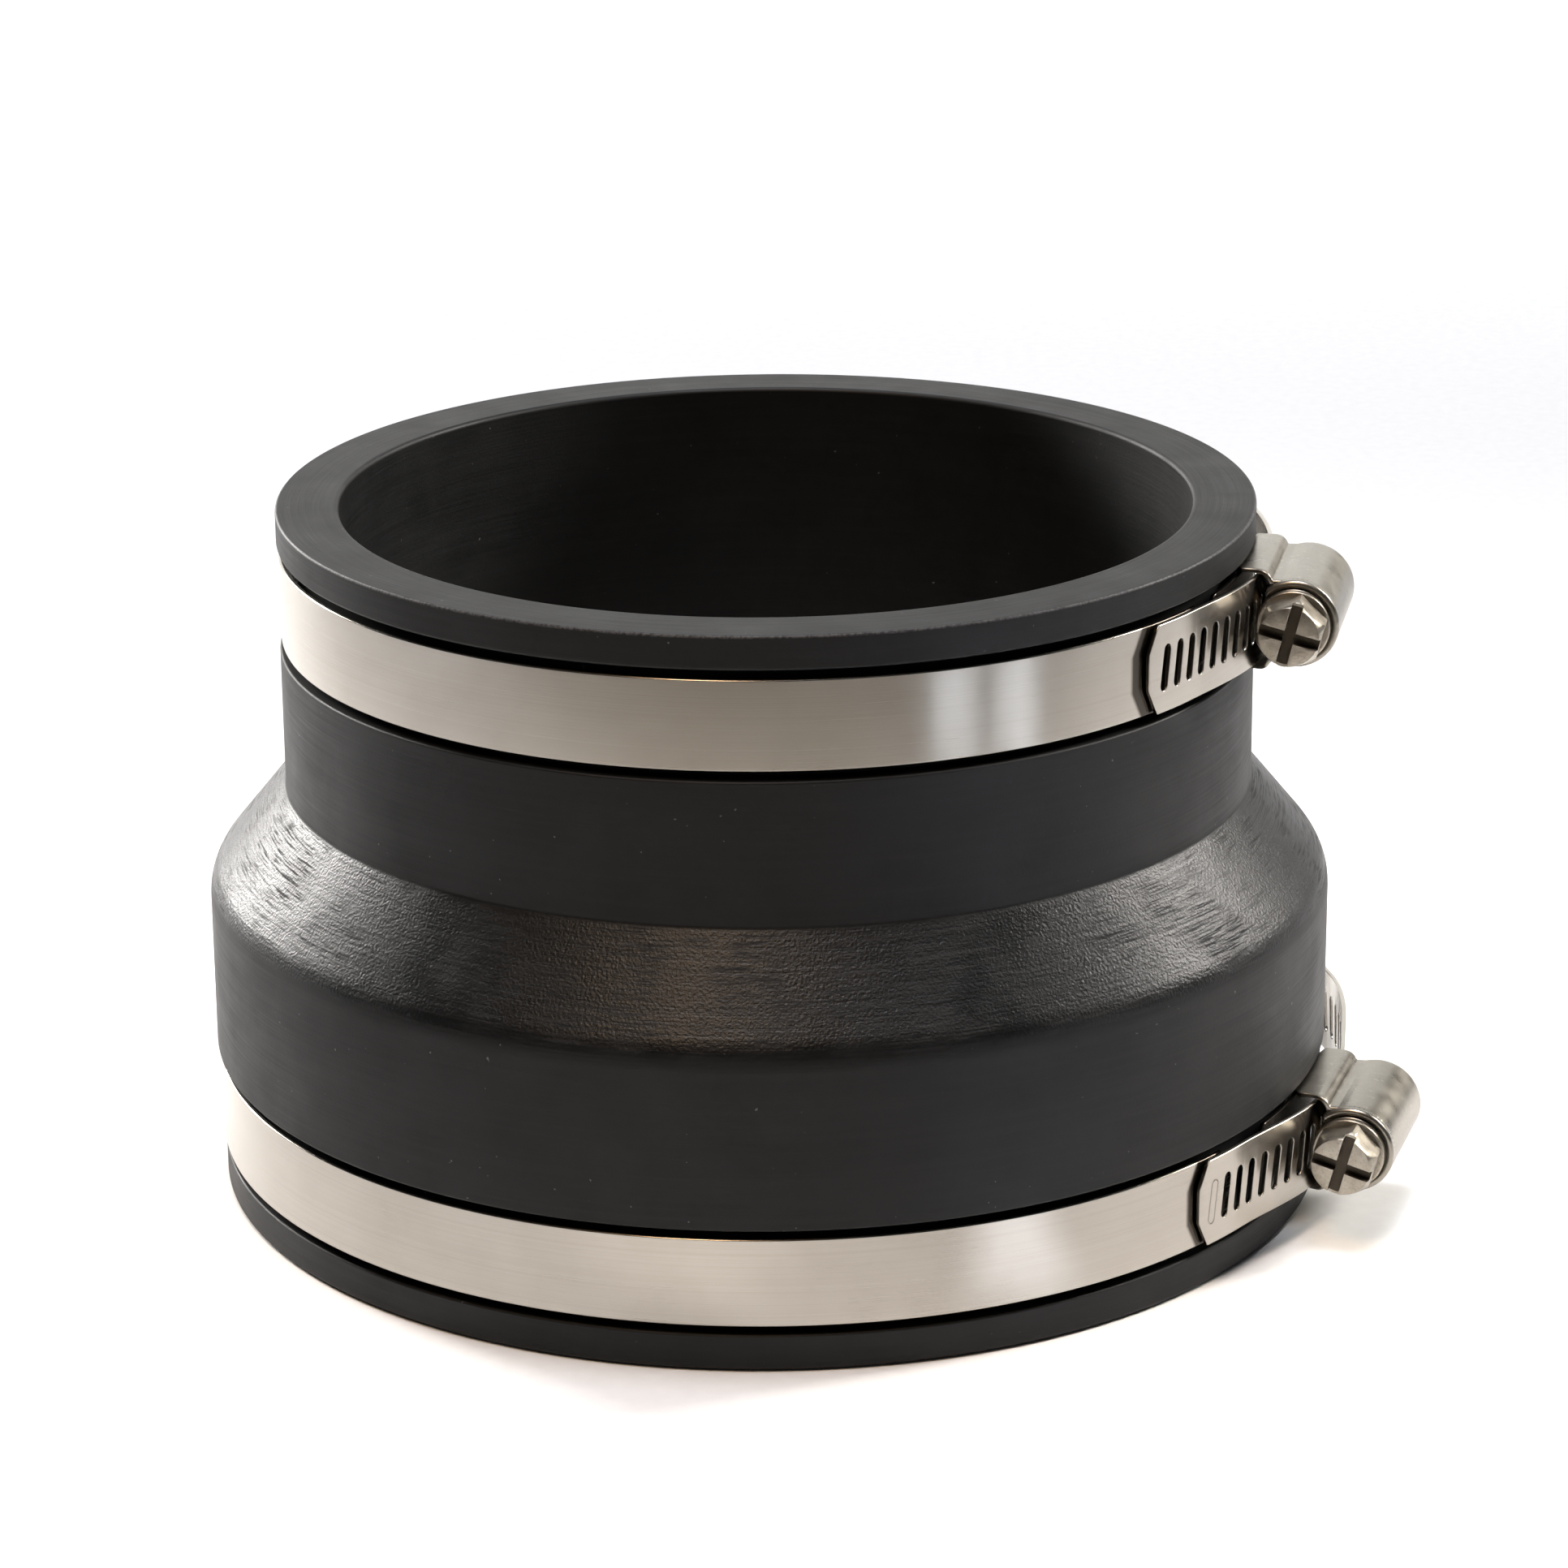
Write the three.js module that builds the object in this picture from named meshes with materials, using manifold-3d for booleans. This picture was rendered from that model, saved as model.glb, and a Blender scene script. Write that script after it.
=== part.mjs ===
// Stepped flexible pipe coupling: a moulded rubber sleeve that joins a smaller pipe (top) to a
// larger pipe (bottom), held on each pipe by a worm-drive band clamp that sits in a groove.
// Millimetres, +Z up. The origin is on the pipe axis at the bottom face.
// Angles run anticlockwise from +X, seen from above.
import * as THREE from "three";
import { mergeVertices } from "three/addons/utils/BufferGeometryUtils.js";
import Module from "manifold-3d";

const wasm = await Module();
wasm.setup();

// ---- sleeve ----
const SLEEVE_HEIGHT = 100.6;
const TOP_OUTER_RADIUS = 70.4;
const TOP_BORE_RADIUS = 61.3;
const BOTTOM_OUTER_RADIUS = 81.9;
const BOTTOM_LIP_RADIUS = 81.2;
const BOTTOM_BORE_RADIUS = 72.6;
const CONE_SLOPE = 39.5;
const SHOULDER_RADIUS = 13;
const SHOULDER_FOOT_HEIGHT = 41.2;
const TOP_SOCKET_DEPTH = 38.6;
const BOTTOM_SOCKET_DEPTH = 38;
const EDGE_RADIUS = 0.6;
const SLEEVE_SEGMENTS = 84;
const SHOULDER_STEPS = 4;

// ---- clamp parts that both sizes share ----
const BAND_WIDTH = 12.7;
const BAND_THICKNESS = 0.65;
const GAP = 0.3;
const GROOVE_WIDTH = 15.4;
const GROOVE_DEPTH = 2.6;
const SLOT_PITCH = 3.2;
const SLOT_LENGTH = 6.6;
const SLOT_WIDTH = 1.4;
const SLOT_LEAN = THREE.MathUtils.degToRad(9);
const SLOT_END_STEPS = 3;
const SLOTS_TOWARDS_TAIL = 18;
const TAIL_PITCHES = 1.4;
const TIP_CHAMFER_ALONG = 2;
const TIP_CHAMFER_ACROSS = 3.8;
const TONGUE_REACH = 21;
const STRIP_LIFT = 4;
const BAND_STEPS = 80;
const STRIP_STEPS = 36;
// The strip leaves the band at the first of these shares of the way to its tip, and is clear of
// it, at the height of the worm, at the second.
const RISE_STARTS_AT = 0.72;
const RISE_ENDS_AT = 0.14;
const TAIL_RISE_START = THREE.MathUtils.degToRad(11.5);
const TAIL_RISE_END = THREE.MathUtils.degToRad(29.8);

// ---- housing ----
const WALL = 0.65;
const HOUSING_FRONT = 10;
const HOUSING_REAR = 11;
const DOME_RADIUS = 6.3;
const DOME_END = THREE.MathUtils.degToRad(108);
const DOME_STEPS = 10;
const LOBE_DEPTH = 5.3;
const LOBE_ROUNDING = 1.5;
const WAIST_DEPTH = 3.3;
const WAIST_HALF_WIDTH = 5.95;
const LIP_LENGTH = 13;
const LIP_REACH = 4.45;
const LIP_CLEARANCE = 0.75;
const COLLAR_LENGTH = 1.5;
const COLLAR_NECK = 0.5;
const REAR_COLLAR_LENGTH = 0.9;
const STRIP_WAY_TOP = 4;

// ---- worm screw ----
const WORM_RADIUS = 5.2;
const WORM_ROOT_RADIUS = 4.2;
const WORM_HALF_LENGTH = 7.6;
const WORM_DEPTH_IN_SLOT = 0.45;
const CREST_HALF_WIDTH = 0.3;
const FLANK_END = 0.95;
const WORM_SEGMENTS = 18;
const WORM_STEPS_PER_PITCH = 7;
const TURNED_SEGMENTS = 24;
const NECK_RADIUS = 2.9;
const PILOT_RADIUS = 2.1;
const FLANGE_RADIUS = 5.2;
const FLANGE_THICKNESS = 1;
const HEX_ACROSS_FLATS = 8.7;
const HEX_HEIGHT = 4.9;
const HEAD_ROUNDING = 2.2;
const CROSS_SLOT_WIDTH = 1.6;
const CROSS_SLOT_DEPTH = 1.4;
const EDGE_BREAK = 0.3;

// How far a cutting shape runs past what it cuts, and how far two joined shapes run together.
const OVERRUN = 1;
const JOIN = 0.2;

// ---- the two clamps: where each band lies and where its housing sits ----
const UPPER_CLAMP = {
  prefix: "upper",
  height: 88.05,
  bandRadius: 70.1,
  stripRadius: 72.9,
  tailRise: 0,
  housingAngle: THREE.MathUtils.degToRad(-12.4),
  slotsTowardsHead: 11,
  tipPitches: 1.22,
  bandEndReach: 25,
  headTurn: THREE.MathUtils.degToRad(14),
};
const LOWER_CLAMP = {
  prefix: "lower",
  height: 12.95,
  bandRadius: 81.4,
  stripRadius: 85.05,
  tailRise: 2.2,
  housingAngle: THREE.MathUtils.degToRad(-18.1),
  slotsTowardsHead: 10,
  tipPitches: 1.99,
  bandEndReach: 30.6,
  headTurn: THREE.MathUtils.degToRad(15),
};

const RUBBER = new THREE.MeshStandardMaterial({ color: 0x1b1c1d, roughness: 0.62, metalness: 0 });
const BAND_STEEL = new THREE.MeshStandardMaterial({ color: 0xcfcac2, roughness: 0.24, metalness: 1 });
const HOUSING_STEEL = new THREE.MeshStandardMaterial({ color: 0xb7b1a6, roughness: 0.3, metalness: 1 });
const SCREW_STEEL = new THREE.MeshStandardMaterial({ color: 0xaaa49a, roughness: 0.36, metalness: 1 });

// ---- joining and cutting ----
function solidOf(geometry) {
  const bare = new THREE.BufferGeometry();
  bare.setAttribute("position", geometry.getAttribute("position"));
  bare.setIndex(geometry.getIndex());
  const merged = mergeVertices(bare, 1e-4);
  return new wasm.Manifold(
    new wasm.Mesh({
      numProp: 3,
      vertProperties: Float32Array.from(merged.attributes.position.array),
      triVerts: Uint32Array.from(merged.index.array),
    }),
  );
}

function geometryOf(solid) {
  const mesh = solid.getMesh();
  return new THREE.BufferGeometry()
    .setAttribute("position", new THREE.BufferAttribute(mesh.vertProperties, 3))
    .setIndex(new THREE.BufferAttribute(mesh.triVerts, 1));
}

function namedMesh(name, geometry, material) {
  const mesh = new THREE.Mesh(geometry, material);
  mesh.name = name;
  return mesh;
}

function smoothStep(value, low, high) {
  return THREE.MathUtils.smoothstep(value, low, high);
}

// ---- rubber sleeve: one lathe profile of radius and height, closed on itself ----
function grooveCorners(clamp, outerRadius) {
  const low = clamp.height - GROOVE_WIDTH / 2;
  const high = clamp.height + GROOVE_WIDTH / 2;
  const floor = clamp.bandRadius - GROOVE_DEPTH;
  return [[outerRadius, low], [floor, low], [floor, high], [outerRadius, high]];
}

function arcCorners(centreRadius, centreHeight, radius, fromDegrees, toDegrees, steps) {
  return Array.from({ length: steps + 1 }, (_, i) => {
    const angle = THREE.MathUtils.degToRad(THREE.MathUtils.lerp(fromDegrees, toDegrees, i / steps));
    return [centreRadius + radius * Math.cos(angle), centreHeight + radius * Math.sin(angle)];
  });
}

function rubberSleeve() {
  const lowerGroove = grooveCorners(LOWER_CLAMP, BOTTOM_OUTER_RADIUS);
  lowerGroove[0][0] = BOTTOM_LIP_RADIUS;
  const shoulder = arcCorners(
    BOTTOM_OUTER_RADIUS - SHOULDER_RADIUS,
    SHOULDER_FOOT_HEIGHT,
    SHOULDER_RADIUS,
    0,
    CONE_SLOPE,
    SHOULDER_STEPS,
  );
  const [coneFootRadius, coneFootHeight] = shoulder[shoulder.length - 1];
  const coneRise = (coneFootRadius - TOP_OUTER_RADIUS) / Math.tan(THREE.MathUtils.degToRad(CONE_SLOPE));
  const profile = [
    [BOTTOM_BORE_RADIUS, 0],
    [BOTTOM_LIP_RADIUS - EDGE_RADIUS, 0],
    [BOTTOM_LIP_RADIUS, EDGE_RADIUS],
    ...lowerGroove,
    ...shoulder,
    [TOP_OUTER_RADIUS, coneFootHeight + coneRise],
    ...grooveCorners(UPPER_CLAMP, TOP_OUTER_RADIUS),
    [TOP_OUTER_RADIUS, SLEEVE_HEIGHT - EDGE_RADIUS],
    [TOP_OUTER_RADIUS - EDGE_RADIUS, SLEEVE_HEIGHT],
    [TOP_BORE_RADIUS + EDGE_RADIUS, SLEEVE_HEIGHT],
    [TOP_BORE_RADIUS, SLEEVE_HEIGHT - EDGE_RADIUS],
    [TOP_BORE_RADIUS, SLEEVE_HEIGHT - TOP_SOCKET_DEPTH],
    [BOTTOM_BORE_RADIUS, BOTTOM_SOCKET_DEPTH],
    [BOTTOM_BORE_RADIUS, 0],
  ].map(([radius, height]) => new THREE.Vector2(radius, height));
  const lathe = new THREE.LatheGeometry(profile, SLEEVE_SEGMENTS);
  lathe.rotateX(Math.PI / 2);
  return namedMesh("rubber_sleeve", lathe, RUBBER);
}

// ---- curved strips: an outline in plan, extruded along the pipe axis ----
function stripSolid(outerRadiusAt, startAngle, endAngle, steps) {
  const angles = Array.from({ length: steps + 1 }, (_, i) =>
    THREE.MathUtils.lerp(startAngle, endAngle, i / steps),
  );
  const at = (angle, inset) =>
    new THREE.Vector2(Math.cos(angle), Math.sin(angle)).multiplyScalar(outerRadiusAt(angle) - inset);
  const outline = [
    ...angles.map((angle) => at(angle, 0)),
    ...angles.map((angle) => at(angle, BAND_THICKNESS)).reverse(),
  ];
  const strip = new THREE.ExtrudeGeometry(new THREE.Shape(outline), {
    depth: BAND_WIDTH,
    bevelEnabled: false,
    steps: 1,
  });
  strip.translate(0, 0, -BAND_WIDTH / 2);
  return solidOf(strip);
}

// A prism whose plan is drawn tangent to the pipe (first axis, away from the screw head) and
// along the pipe (second axis), and which runs outwards through a strip at the given angle.
function radialCutter(outline, angle, innerRadius, outerRadius) {
  const prism = new THREE.ExtrudeGeometry(new THREE.Shape(outline), {
    depth: outerRadius - innerRadius,
    bevelEnabled: false,
    steps: 1,
  });
  const turn = new THREE.Matrix4().makeBasis(
    new THREE.Vector3(0, 1, 0),
    new THREE.Vector3(0, 0, 1),
    new THREE.Vector3(1, 0, 0),
  );
  prism.applyMatrix4(turn);
  prism.translate(innerRadius, 0, 0);
  prism.rotateZ(angle);
  return solidOf(prism);
}

// Takes both corners off the head-side end of a strip.
function chamferedEnd(strip, angle, radius) {
  const half = BAND_WIDTH / 2;
  const cutters = [1, -1].map((side) => {
    const corner = [
      [-TIP_CHAMFER_ALONG, side * (half + TIP_CHAMFER_ACROSS)],
      [2 * TIP_CHAMFER_ALONG, side * (half + TIP_CHAMFER_ACROSS)],
      [-TIP_CHAMFER_ALONG, side * (half - 2 * TIP_CHAMFER_ACROSS)],
    ].map(([along, across]) => new THREE.Vector2(along, across));
    const outline = side > 0 ? corner.reverse() : corner;
    return radialCutter(outline, angle, radius - STRIP_LIFT - OVERRUN, radius + OVERRUN);
  });
  return cutters.reduce((solid, cutter) => solid.subtract(cutter), strip);
}

function slotOutline() {
  const straight = (SLOT_LENGTH - SLOT_WIDTH) / 2;
  const corners = [];
  for (const side of [1, -1]) {
    for (let i = 0; i <= SLOT_END_STEPS; i += 1) {
      const angle = Math.PI * (i / SLOT_END_STEPS) + (side < 0 ? Math.PI : 0);
      const corner = new THREE.Vector2(
        (SLOT_WIDTH / 2) * Math.cos(angle),
        side * straight + (SLOT_WIDTH / 2) * Math.sin(angle),
      );
      corners.push(corner.rotateAround(new THREE.Vector2(), -SLOT_LEAN));
    }
  }
  return corners;
}

// ---- smooth band: from its end under the slotted strip, round the sleeve, and on through the
// housing to a chamfered tongue ----
function smoothBand(clamp) {
  const startAngle = -TONGUE_REACH / clamp.bandRadius;
  const endAngle = 2 * Math.PI - clamp.bandEndReach / clamp.bandRadius;
  const strip = stripSolid(() => clamp.bandRadius, startAngle, endAngle, BAND_STEPS);
  const band = chamferedEnd(strip, startAngle, clamp.bandRadius);
  return namedMesh(clamp.prefix + "_band", geometryOf(band), BAND_STEEL);
}

// ---- slotted strip: lies over the band's end, rises under the worm, and runs on as a free tail ----
function slottedStrip(clamp) {
  const slotAngle = SLOT_PITCH / clamp.stripRadius;
  const startAngle = -(clamp.slotsTowardsHead + clamp.tipPitches) * slotAngle;
  const endAngle = (SLOTS_TOWARDS_TAIL + TAIL_PITCHES) * slotAngle;
  const lapRadius = clamp.bandRadius + GAP + BAND_THICKNESS;
  const outerRadiusAt = (angle) =>
    lapRadius +
    (clamp.stripRadius - lapRadius) *
      smoothStep(angle, startAngle * RISE_STARTS_AT, startAngle * RISE_ENDS_AT) +
    clamp.tailRise * smoothStep(angle, TAIL_RISE_START, TAIL_RISE_END);
  const blank = stripSolid(outerRadiusAt, startAngle, endAngle, STRIP_STEPS);
  const outline = slotOutline();
  let strip = chamferedEnd(blank, startAngle, clamp.stripRadius);
  for (let i = -clamp.slotsTowardsHead; i <= SLOTS_TOWARDS_TAIL; i += 1) {
    const outermost = clamp.stripRadius + clamp.tailRise + OVERRUN;
    const slot = radialCutter(outline, i * slotAngle, clamp.bandRadius - OVERRUN, outermost);
    strip = strip.subtract(slot);
  }
  return namedMesh(clamp.prefix + "_slotted_strip", geometryOf(strip), BAND_STEEL);
}

// ---- housing: a stamped bridge whose dome holds the worm and whose sides wrap the bands ----
// Drawn in the screw's own place: x outwards from the screw axis, y along the pipe.
function housingOutline(inset, bottom) {
  const side = BAND_WIDTH / 2 + GAP + WALL - inset;
  const dome = DOME_RADIUS - inset;
  const domeX = dome * Math.cos(DOME_END);
  const domeY = dome * Math.sin(DOME_END);
  const waistX = -WAIST_DEPTH - inset;
  const waistY = WAIST_HALF_WIDTH - inset;
  const bendX = (waistX + domeX) / 2;
  const bendY = (waistY + domeY) / 2 - inset / 4;
  const shape = new THREE.Shape();
  shape.moveTo(bottom, -side);
  shape.lineTo(-LOBE_DEPTH, -side);
  shape.quadraticCurveTo(-LOBE_DEPTH + LOBE_ROUNDING, -side, waistX, -waistY);
  shape.quadraticCurveTo(bendX, -bendY, domeX, -domeY);
  shape.absarc(0, 0, dome, -DOME_END, DOME_END, false);
  shape.quadraticCurveTo(bendX, bendY, waistX, waistY);
  shape.quadraticCurveTo(-LOBE_DEPTH + LOBE_ROUNDING, side, -LOBE_DEPTH, side);
  shape.lineTo(bottom, side);
  return shape;
}

// Stands a profile of (outwards, along the pipe) on the screw axis and runs it from front to rear.
function alongScrew(shape, front, rear) {
  const body = new THREE.ExtrudeGeometry(shape, {
    depth: front + rear,
    bevelEnabled: false,
    steps: 1,
    curveSegments: DOME_STEPS,
  });
  const turn = new THREE.Matrix4().makeBasis(
    new THREE.Vector3(1, 0, 0),
    new THREE.Vector3(0, 0, 1),
    new THREE.Vector3(0, -1, 0),
  );
  body.applyMatrix4(turn);
  body.translate(0, rear, 0);
  return solidOf(body);
}

// A ring turned about the screw axis: pairs are radius and distance towards the tail.
function turnedOnScrew(pairs, segments) {
  const lathe = new THREE.LatheGeometry(
    pairs.map(([radius, along]) => new THREE.Vector2(radius, along)),
    segments,
  );
  return solidOf(lathe);
}

function boxAt(sizeX, sizeY, sizeZ, x, y, z) {
  const box = new THREE.BoxGeometry(sizeX, sizeY, sizeZ);
  box.translate(x, y, z);
  return solidOf(box);
}

function housingShell(clamp) {
  const axisRadius = screwAxisRadius(clamp);
  const lipTop = clamp.bandRadius - BAND_THICKNESS - LIP_CLEARANCE - axisRadius;
  const width = BAND_WIDTH + 2 * (GAP + WALL);
  const length = HOUSING_FRONT + HOUSING_REAR;
  const midway = (HOUSING_REAR - HOUSING_FRONT) / 2;
  const outside = alongScrew(housingOutline(0, lipTop - WALL), HOUSING_FRONT, HOUSING_REAR);
  const hollow = housingOutline(WALL, lipTop);
  const inside = alongScrew(hollow, HOUSING_FRONT + OVERRUN, HOUSING_REAR + OVERRUN);
  const betweenLips = boxAt(
    3 * WALL,
    length + 2 * OVERRUN,
    width - 2 * LIP_REACH,
    lipTop - WALL,
    midway,
    0,
  );
  let shell = outside.subtract(inside).subtract(betweenLips);
  for (const side of [1, -1]) {
    const past = side > 0 ? HOUSING_REAR : HOUSING_FRONT;
    const cutLength = past - LIP_LENGTH / 2 + OVERRUN;
    const cut = boxAt(
      2 * OVERRUN + WALL,
      cutLength,
      width + OVERRUN,
      lipTop - OVERRUN,
      (side * (LIP_LENGTH + cutLength)) / 2,
      0,
    );
    shell = shell.subtract(cut);
  }
  return shell;
}

// The two ends of the dome, drawn in round the screw's neck and round its pilot.
function housingCollars() {
  const front = -HOUSING_FRONT;
  const neck = NECK_RADIUS + GAP;
  const frontCollar = turnedOnScrew([
    [neck, front + COLLAR_LENGTH],
    [neck, front],
    [DOME_RADIUS - 2 * WALL, front],
    [DOME_RADIUS - COLLAR_NECK, front + EDGE_BREAK],
    [DOME_RADIUS - COLLAR_NECK, front + COLLAR_LENGTH - EDGE_BREAK],
    [DOME_RADIUS - JOIN, front + COLLAR_LENGTH],
    [neck, front + COLLAR_LENGTH],
  ], TURNED_SEGMENTS);
  const pilot = PILOT_RADIUS + GAP;
  const rearCollar = turnedOnScrew([
    [pilot, HOUSING_REAR],
    [pilot, HOUSING_REAR - REAR_COLLAR_LENGTH],
    [DOME_RADIUS - JOIN, HOUSING_REAR - REAR_COLLAR_LENGTH],
    [DOME_RADIUS - WALL, HOUSING_REAR],
    [pilot, HOUSING_REAR],
  ], TURNED_SEGMENTS);
  const below = DOME_RADIUS - STRIP_WAY_TOP;
  const stripWay = boxAt(
    2 * below,
    HOUSING_FRONT + HOUSING_REAR + 2 * OVERRUN,
    2 * DOME_RADIUS,
    -DOME_RADIUS,
    (HOUSING_REAR - HOUSING_FRONT) / 2,
    0,
  );
  return frontCollar.add(rearCollar).subtract(stripWay);
}

function housing(clamp) {
  const solid = housingShell(clamp).add(housingCollars());
  const mesh = namedMesh(clamp.prefix + "_housing", geometryOf(solid), HOUSING_STEEL);
  mesh.position.x = screwAxisRadius(clamp);
  return mesh;
}

function screwAxisRadius(clamp) {
  return clamp.stripRadius + WORM_RADIUS - WORM_DEPTH_IN_SLOT;
}

// ---- worm screw: drawn with its axis along y and its head at the low end ----
function wormThread() {
  const length = 2 * WORM_HALF_LENGTH;
  const lengthSteps = Math.round((length / SLOT_PITCH) * WORM_STEPS_PER_PITCH);
  const worm = new THREE.CylinderGeometry(1, 1, length, WORM_SEGMENTS, lengthSteps);
  const place = worm.getAttribute("position");
  const point = new THREE.Vector3();
  for (let i = 0; i < place.count; i += 1) {
    point.fromBufferAttribute(place, i);
    const reach = Math.hypot(point.x, point.z);
    if (reach > 0.5) {
      const angle = Math.atan2(point.x, point.z) + Math.PI / 2;
      const turns = point.y / SLOT_PITCH - angle / (2 * Math.PI);
      const offCrest = Math.abs(turns - Math.round(turns)) * SLOT_PITCH;
      const height = 1 - smoothStep(offCrest, CREST_HALF_WIDTH, FLANK_END);
      const radius = WORM_ROOT_RADIUS + (WORM_RADIUS - WORM_ROOT_RADIUS) * height;
      place.setXYZ(i, (point.x / reach) * radius, point.y, (point.z / reach) * radius);
    }
  }
  return solidOf(worm);
}

function hexHead(clamp, face, back) {
  const cornerRadius = HEX_ACROSS_FLATS / Math.sqrt(3);
  const length = back - face;
  const hex = new THREE.CylinderGeometry(cornerRadius, cornerRadius, length, 6, 1);
  hex.rotateY(clamp.headTurn);
  hex.translate(0, face + length / 2, 0);
  const rounding = turnedOnScrew([
    [0, face],
    [HEX_ACROSS_FLATS / 2 - JOIN / 2, face],
    [cornerRadius + JOIN / 2, face + HEAD_ROUNDING],
    [cornerRadius + JOIN / 2, back + OVERRUN],
    [0, back + OVERRUN],
  ], TURNED_SEGMENTS);
  let head = solidOf(hex).intersect(rounding);
  for (const turn of [0, Math.PI / 2]) {
    const slot = new THREE.BoxGeometry(CROSS_SLOT_WIDTH, 2 * CROSS_SLOT_DEPTH, 3 * cornerRadius);
    slot.rotateY(clamp.headTurn + turn);
    slot.translate(0, face, 0);
    head = head.subtract(solidOf(slot));
  }
  return head;
}

function wormScrew(clamp) {
  const flangeBack = -HOUSING_FRONT - GAP;
  const flangeFront = flangeBack - FLANGE_THICKNESS;
  const head = hexHead(clamp, flangeFront - HEX_HEIGHT, flangeFront + JOIN);
  const shank = turnedOnScrew([
    [0, flangeFront],
    [FLANGE_RADIUS - EDGE_BREAK, flangeFront],
    [FLANGE_RADIUS, flangeFront + EDGE_BREAK],
    [FLANGE_RADIUS, flangeBack],
    [NECK_RADIUS, flangeBack],
    [NECK_RADIUS, -WORM_HALF_LENGTH + JOIN],
    [0, -WORM_HALF_LENGTH + JOIN],
  ], TURNED_SEGMENTS);
  const pilot = turnedOnScrew([
    [0, WORM_HALF_LENGTH - JOIN],
    [PILOT_RADIUS, WORM_HALF_LENGTH - JOIN],
    [PILOT_RADIUS, HOUSING_REAR - EDGE_BREAK],
    [PILOT_RADIUS - EDGE_BREAK, HOUSING_REAR],
    [0, HOUSING_REAR],
  ], TURNED_SEGMENTS);
  const screw = head.add(shank).add(pilot).add(wormThread());
  const mesh = namedMesh(clamp.prefix + "_worm_screw", geometryOf(screw), SCREW_STEEL);
  mesh.position.x = screwAxisRadius(clamp);
  return mesh;
}

function clampAssembly(clamp) {
  const assembly = new THREE.Group();
  assembly.add(smoothBand(clamp), slottedStrip(clamp), housing(clamp), wormScrew(clamp));
  assembly.rotation.z = clamp.housingAngle;
  assembly.position.z = clamp.height;
  return assembly;
}

const coupling = new THREE.Group();
coupling.add(rubberSleeve(), clampAssembly(UPPER_CLAMP), clampAssembly(LOWER_CLAMP));

export default coupling;
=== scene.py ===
"""Stepped rubber pipe coupling with two worm-drive band clamps.

Sizes are in millimetres in the pipe's own frame and become metres when a mesh is made.
+Z runs up the pipe axis from the larger socket to the smaller one.
"""
import math

import bmesh
import bpy
from mathutils import Matrix, Vector


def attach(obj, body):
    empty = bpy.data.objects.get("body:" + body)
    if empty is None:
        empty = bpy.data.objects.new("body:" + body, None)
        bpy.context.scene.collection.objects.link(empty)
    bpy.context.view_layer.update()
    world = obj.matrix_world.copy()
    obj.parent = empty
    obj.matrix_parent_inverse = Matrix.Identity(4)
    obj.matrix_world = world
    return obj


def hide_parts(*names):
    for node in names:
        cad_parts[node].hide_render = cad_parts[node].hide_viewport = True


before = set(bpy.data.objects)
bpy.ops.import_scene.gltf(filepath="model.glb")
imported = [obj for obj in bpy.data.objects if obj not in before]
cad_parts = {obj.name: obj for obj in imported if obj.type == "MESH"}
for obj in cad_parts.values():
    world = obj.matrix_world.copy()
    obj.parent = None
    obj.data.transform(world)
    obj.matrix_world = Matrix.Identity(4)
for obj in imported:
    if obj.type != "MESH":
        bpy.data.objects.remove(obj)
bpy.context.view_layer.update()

# ---------------------------------------------------------------- rubber sleeve
# One moulding of black rubber, stepped down from a wide cuff to a narrow one by a cone. It comes
# out of a turned steel mould, and each clamp sits in a square groove round it.

MM = 0.001
SLEEVE_STEPS = 288
SLEEVE_TOP = 100.6
WIDE_CUFF = 81.9
WIDE_LIP = 81.2
WIDE_BORE = 72.6
NARROW_CUFF = 70.4
NARROW_BORE = 61.3
BORE_STEPS = (62.0, 38.0)
SHOULDER = {"height": 41.2, "arc": 13.0, "fillet": 7.0}
CONE_SLOPE = math.radians(39.5)
GROOVE = {"half": 7.7, "depth": 2.6}

# height: the middle of the band. band, strip: outer radii of the hoop and of the slotted strip.
# tail_rise: how far the strip's tail stands out further. angle: the screw's place round the pipe.
# slots, tip: slots before the screw and the plain length past them, in slot pitches. painted_shade:
# how far the hoop is painted dark past the tip, as shade and the tip's dark reflection. band_end: where the
# hoop stops, short of the screw.
# head_turn: the screw's own turn.
CLAMPS = {
    "upper": {
        "height": 88.05,
        "band": 70.1,
        "strip": 72.9,
        "tail_rise": 0.0,
        "angle": math.radians(-12.4),
        "slots": 11,
        "tip": 1.22,
        "painted_shade": 2.8,
        "band_end": 25.0,
        "head_turn": math.radians(14),
    },
    "lower": {
        "height": 12.95,
        "band": 81.4,
        "strip": 85.05,
        "tail_rise": 2.2,
        "angle": math.radians(-18.1),
        "slots": 10,
        "tip": 1.99,
        "painted_shade": 1.9,
        "band_end": 30.6,
        "head_turn": math.radians(15),
    },
}


def linear(code):
    """A hex sRGB colour as linear RGBA."""
    parts = [int(code[i : i + 2], 16) / 255 for i in (1, 3, 5)]
    return [c / 12.92 if c <= 0.04045 else ((c + 0.055) / 1.055) ** 2.4 for c in parts] + [1.0]


def add(tree, kind, links=(), **settings):
    """Adds a shader node with its own settings; links feed its inputs in order, or by name or number."""
    made = tree.nodes.new("ShaderNode" + kind)
    for name, value in settings.items():
        setattr(made, name, value)
    for socket, value in links.items() if isinstance(links, dict) else enumerate(links):
        if isinstance(value, bpy.types.Node):
            value = value.outputs[0]
        if isinstance(value, bpy.types.NodeSocket):
            tree.links.new(value, made.inputs[socket])
        else:
            made.inputs[socket].default_value = value
    return made


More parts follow.
